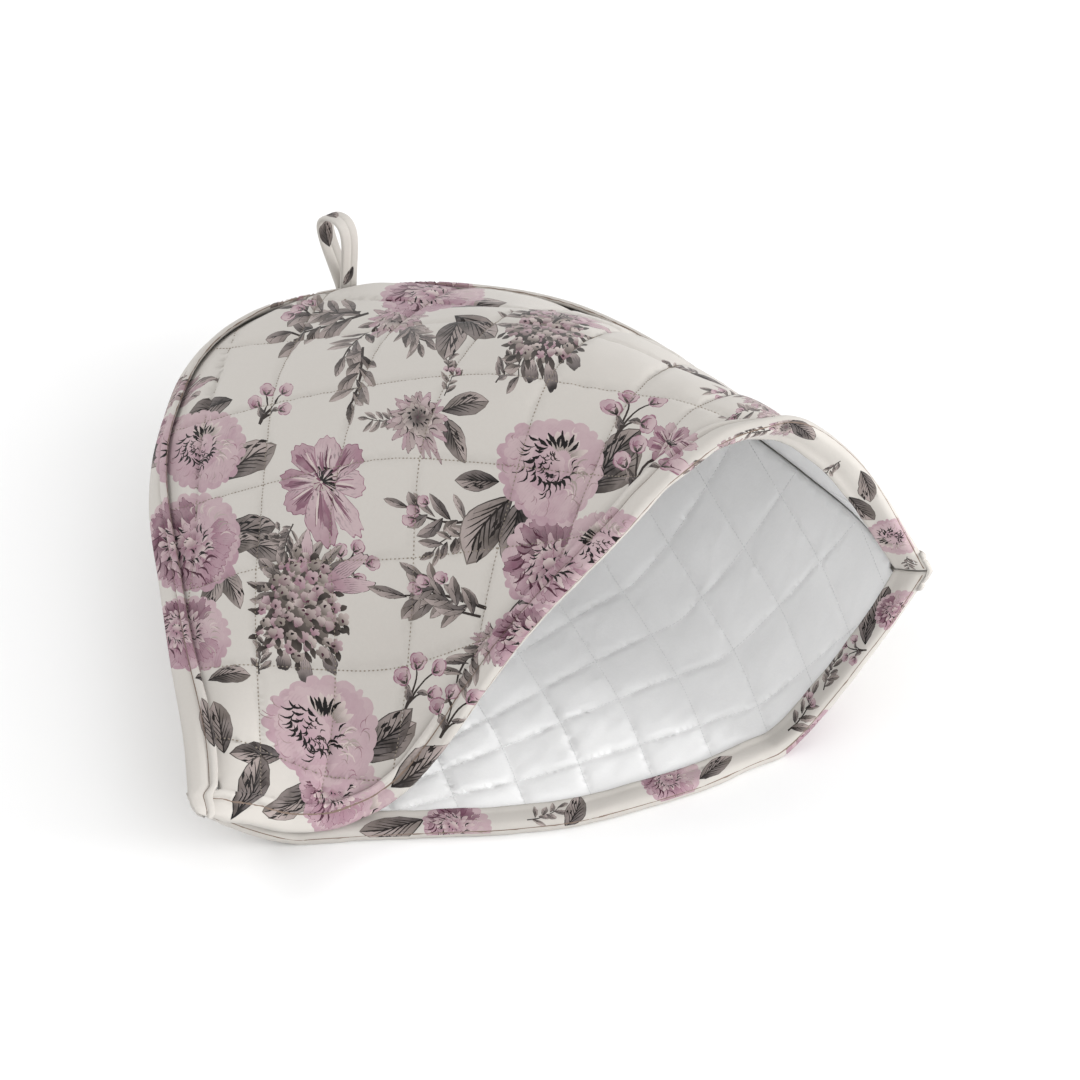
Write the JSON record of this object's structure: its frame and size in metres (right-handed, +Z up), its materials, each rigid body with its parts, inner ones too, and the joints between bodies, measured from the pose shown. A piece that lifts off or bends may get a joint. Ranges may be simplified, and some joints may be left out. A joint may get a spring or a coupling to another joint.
{
  "type": "tea cosy",
  "caption": "Quilted dome-shaped floral tea cosy with bound edges, a pale quilted lining and a hanging loop, lying on its back panel with its mouth open.",
  "frame": {"origin": "under the middle of the whole, on the surface that it lies on", "axes": "+X along the hem from the low left corner of the mouth to the high right corner, +Y from the mouth to the top seam with the hanging loop, +Z up"},
  "size_m": [0.2948, 0.2938, 0.1501],
  "materials": {
    "printed_quilt": "matt cotton with a floral print",
    "quilted_lining": "matt white cotton",
    "printed_binding": "matt cotton with a floral print",
    "loop_strip": "matt cotton with a floral print"
  },
  "bodies": {
    "root": {"front_panel": "printed_quilt", "back_panel": "printed_quilt", "front_lining": "quilted_lining", "back_lining": "quilted_lining", "front_hem_binding": "printed_binding", "back_hem_binding": "printed_binding", "seam_binding": "printed_binding", "hanging_loop": "loop_strip"}
  },
  "joints": []
}
